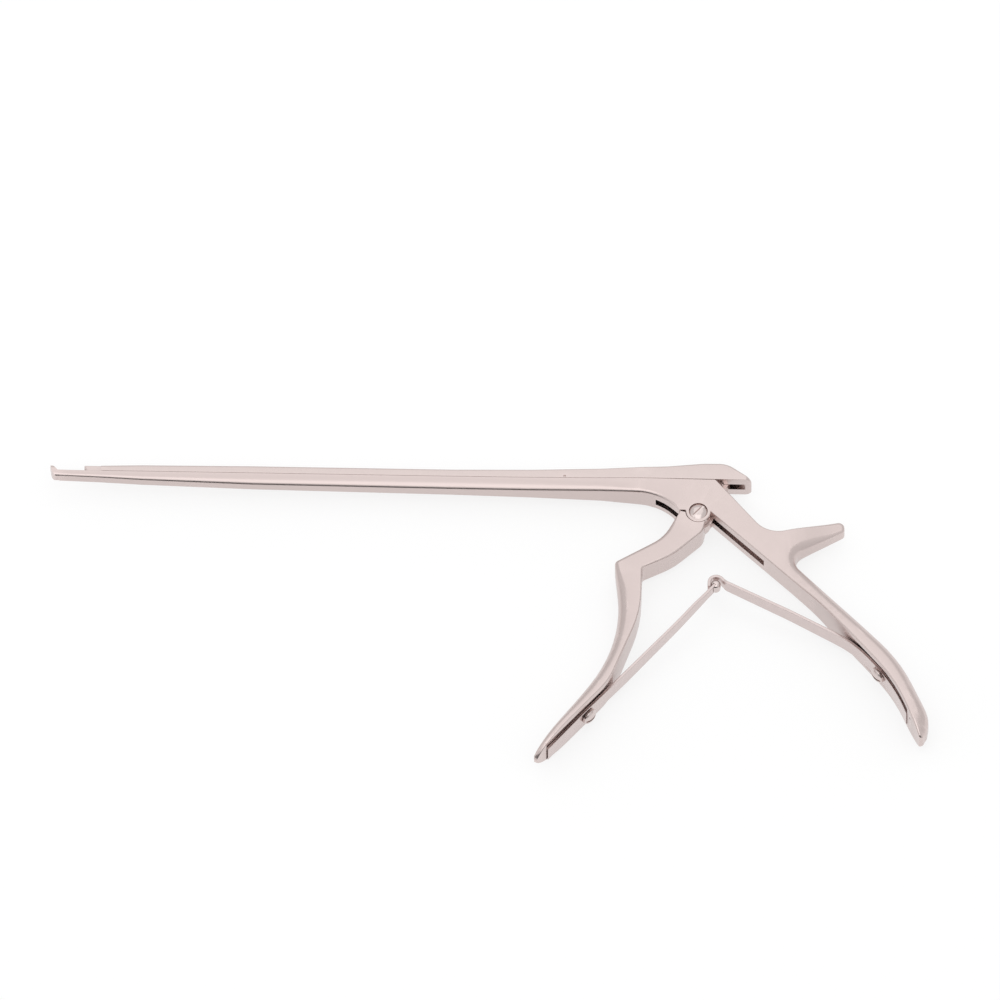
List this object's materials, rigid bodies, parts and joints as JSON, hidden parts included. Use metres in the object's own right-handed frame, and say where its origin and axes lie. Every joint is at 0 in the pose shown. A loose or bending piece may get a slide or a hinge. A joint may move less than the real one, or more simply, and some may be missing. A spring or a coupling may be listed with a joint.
{
  "type": "bone rongeur",
  "caption": "Long-shafted bone punch with a sliding upper shaft, footplate jaw, squeeze handle, thumb spur and double leaf spring.",
  "frame": {"origin": "centre of the overall box at rest, on its lowest plane", "axes": "+X from the jaw towards the handles, along the shaft; +Y from the handle tips towards the shaft; +Z across the handles' width, up from the face it lies on"},
  "size_m": [0.2836, 0.1124, 0.013],
  "materials": {
    "satin_steel": "fine satin, glass-bead blasted",
    "polished_steel": "turned, smooth",
    "spring_steel": "satin, brushed along the leaf"
  },
  "bodies": {
    "frame": {"body_frame": "satin_steel", "pivot_screw": "polished_steel", "rear_spring_screw": "polished_steel"},
    "front_handle": {"front_handle": "satin_steel", "front_spring_screw": "polished_steel"},
    "slider": {"slider": "satin_steel", "drive_pin": "polished_steel"},
    "rear_leaf": {"rear_leaf_spring": "spring_steel"},
    "front_leaf": {"front_leaf_spring": "spring_steel", "spring_roller": "spring_steel"}
  },
  "joints": [
    {"name": "handle_hinge", "type": "hinge", "parent": "frame", "child": "front_handle", "pos_m": [0.06599, 0.03784, 0.0065], "axis": [0, 0, 1], "range_deg": [0, 35.7], "stiffness_Nm_per_rad": 1.5, "springref_deg": -11.46},
    {"name": "slider_slide", "type": "slide", "parent": "frame", "child": "slider", "axis": [-1, 0, 0], "range_m": [0, 0.0094]},
    {"name": "rear_leaf_flex", "type": "hinge", "parent": "frame", "child": "rear_leaf", "pos_m": [0.12, -0.01598, 0.0065], "axis": [0, 0, 1], "range_deg": [-10.8, 0], "deforming": ["rear_leaf_spring"]},
    {"name": "front_leaf_flex", "type": "hinge", "parent": "front_handle", "child": "front_leaf", "pos_m": [0.03636, -0.03142, 0.0065], "axis": [0, 0, 1], "range_deg": [0, 8.75], "deforming": ["front_leaf_spring"]}
  ],
  "couplings": [
    {"joint": "slider_slide", "follows": "handle_hinge", "m_per_rad": 0.015086},
    {"joint": "rear_leaf_flex", "follows": "handle_hinge", "ratio": -0.3017},
    {"joint": "front_leaf_flex", "follows": "handle_hinge", "ratio": 0.2429}
  ]
}
